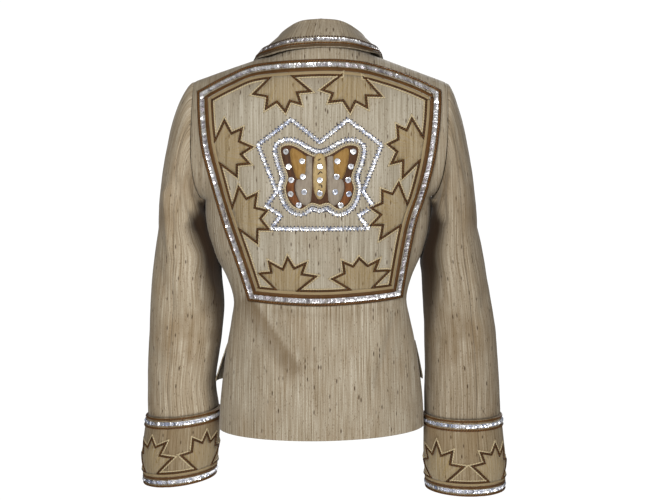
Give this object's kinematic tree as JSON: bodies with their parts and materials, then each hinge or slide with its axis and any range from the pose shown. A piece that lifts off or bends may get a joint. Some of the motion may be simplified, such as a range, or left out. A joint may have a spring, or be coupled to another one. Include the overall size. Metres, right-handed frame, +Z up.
{
  "type": "embellished jacket",
  "caption": "Fitted tweed jacket in its worn hollow shape, with a corded and sequinned back panel, applique leaves and butterfly, collar, lapels and trimmed cuffs.",
  "frame": {"origin": "between the two neck points, on the line of the shoulder seams, where the wearer holds the jacket", "axes": "+Z up, fronts face -Y, back faces +Y, the wearer's left is +X"},
  "size_m": [0.5779, 0.2398, 0.755],
  "materials": {
    "tweed": "slubbed silk tweed, fine upright stripes",
    "panel_tweed": "slubbed silk tweed, greyer",
    "sleeve_tweed": "slubbed silk tweed, browner",
    "leaf_cloth": "plain applique cloth",
    "dark_cord": "dark brown braid",
    "dark_band": "dark brown ribbon",
    "wing_cloth": "applique cloth in browns",
    "body_cloth": "applique cloth, tan",
    "button": "polished dark brown"
  },
  "bodies": {
    "root": {"back": "tweed", "front_left": "tweed", "front_right": "tweed", "collar": "tweed", "lapel_left": "tweed", "lapel_right": "tweed", "pocket_flap_left": "tweed", "pocket_flap_right": "tweed", "back_panel": "panel_tweed", "sleeve_upper_left": "sleeve_tweed", "sleeve_under_left": "sleeve_tweed", "sleeve_upper_right": "sleeve_tweed", "sleeve_under_right": "sleeve_tweed", "cuff_left": "sleeve_tweed", "cuff_right": "sleeve_tweed", "leaf_1": "leaf_cloth", "leaf_2": "leaf_cloth", "leaf_3": "leaf_cloth", "leaf_4": "leaf_cloth", "leaf_5": "leaf_cloth", "leaf_6": "leaf_cloth", "leaf_7": "leaf_cloth", "leaf_8": "leaf_cloth", "cuff_leaf_1_left": "leaf_cloth", "cuff_leaf_2_left": "leaf_cloth", "cuff_leaf_3_left": "leaf_cloth", "cuff_leaf_4_left": "leaf_cloth", "cuff_leaf_1_right": "leaf_cloth", "cuff_leaf_2_right": "leaf_cloth", "cuff_leaf_3_right": "leaf_cloth", "cuff_leaf_4_right": "leaf_cloth", "border_cord": "dark_cord", "inner_cord": "dark_cord", "cuff_band_upper_left": "dark_cord", "cuff_band_lower_left": "dark_cord", "cuff_hem_band_left": "dark_cord", "cuff_band_upper_right": "dark_cord", "cuff_band_lower_right": "dark_cord", "cuff_hem_band_right": "dark_cord", "border_band": "dark_band", "butterfly_wings": "wing_cloth", "butterfly_body": "body_cloth", "button_1": "button", "button_2": "button", "button_3": "button"}
  },
  "joints": []
}
